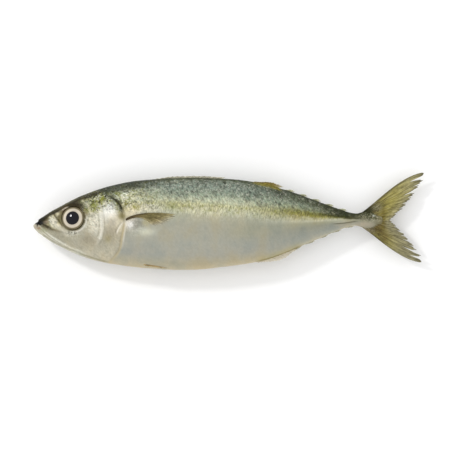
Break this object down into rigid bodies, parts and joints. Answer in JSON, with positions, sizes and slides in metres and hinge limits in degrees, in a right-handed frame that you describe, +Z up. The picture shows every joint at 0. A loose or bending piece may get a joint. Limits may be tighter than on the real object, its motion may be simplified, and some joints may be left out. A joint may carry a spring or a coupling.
{
  "type": "whole raw mackerel",
  "caption": "Whole raw mackerel lying on its side: a slim tapered body with a pointed head, closed mouth, round eyes, gill covers, low folded fins, small finlets and a forked tail.",
  "frame": {"origin": "under the middle of the fish's box, on the surface that the fish lies on", "axes": "+X from the snout towards the tail, +Y towards the back, +Z up out of the left flank"},
  "size_m": [0.2408, 0.0602, 0.029],
  "materials": {
    "skin": "wet fish skin: mottled blue-green back, yellow-green band along the side, smooth silver-grey flank and warm pale belly",
    "fin": "thin olive-yellow fin skin over fine rays, slightly see-through",
    "eye": "wet clear cornea over a cream ring and a black pupil"
  },
  "bodies": {
    "root": {"fish": "skin", "eye_left": "eye", "eye_right": "eye"}
  },
  "joints": []
}
